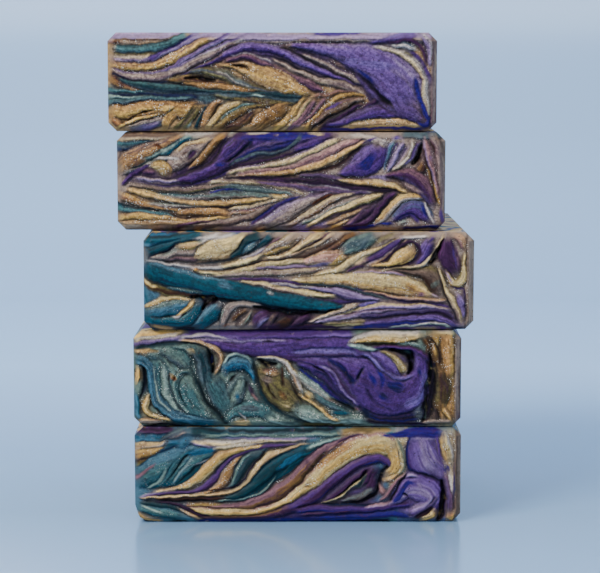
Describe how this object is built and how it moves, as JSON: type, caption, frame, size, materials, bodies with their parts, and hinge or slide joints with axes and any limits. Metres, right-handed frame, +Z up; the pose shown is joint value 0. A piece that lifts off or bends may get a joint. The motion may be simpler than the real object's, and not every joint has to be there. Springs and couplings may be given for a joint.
{
  "type": "stack of soap bars",
  "caption": "Stack of handmade swirled soap bars with planed edges and textured tops, lying loose on their cut faces; each bar lifts off the one below.",
  "frame": {"origin": "under the middle of the stack's bounding box, on the face that it stands on", "axes": "+Z up through the stack, X along the bars' length, -Y towards the textured tops of the bars"},
  "size_m": [0.0956, 0.0666, 0.1287],
  "materials": {
    "soap_bottom": "waxy cured soap, satin, swirled cream, violet and teal with gold mica",
    "soap_lower": "waxy cured soap, satin, swirled cream, violet and teal with gold mica",
    "soap_middle": "waxy cured soap, satin, swirled cream, violet and teal with gold mica",
    "soap_upper": "waxy cured soap, satin, swirled cream, violet and teal with gold mica",
    "soap_top": "waxy cured soap, satin, swirled cream, violet and teal with gold mica"
  },
  "bodies": {
    "bottom_bar": {"soap_bar_bottom": "soap_bottom"},
    "lower_bar": {"soap_bar_lower": "soap_lower"},
    "middle_bar": {"soap_bar_middle": "soap_middle"},
    "upper_bar": {"soap_bar_upper": "soap_upper"},
    "top_bar": {"soap_bar_top": "soap_top"}
  },
  "joints": [
    {"name": "lift_lower_bar", "type": "slide", "parent": "bottom_bar", "child": "lower_bar", "axis": [0, 0, 1], "range_m": [0, 0.03]},
    {"name": "lift_middle_bar", "type": "slide", "parent": "lower_bar", "child": "middle_bar", "axis": [0, 0, 1], "range_m": [0, 0.03]},
    {"name": "lift_upper_bar", "type": "slide", "parent": "middle_bar", "child": "upper_bar", "axis": [0, 0, 1], "range_m": [0, 0.03]},
    {"name": "lift_top_bar", "type": "slide", "parent": "upper_bar", "child": "top_bar", "axis": [0, 0, 1], "range_m": [0, 0.03]}
  ]
}
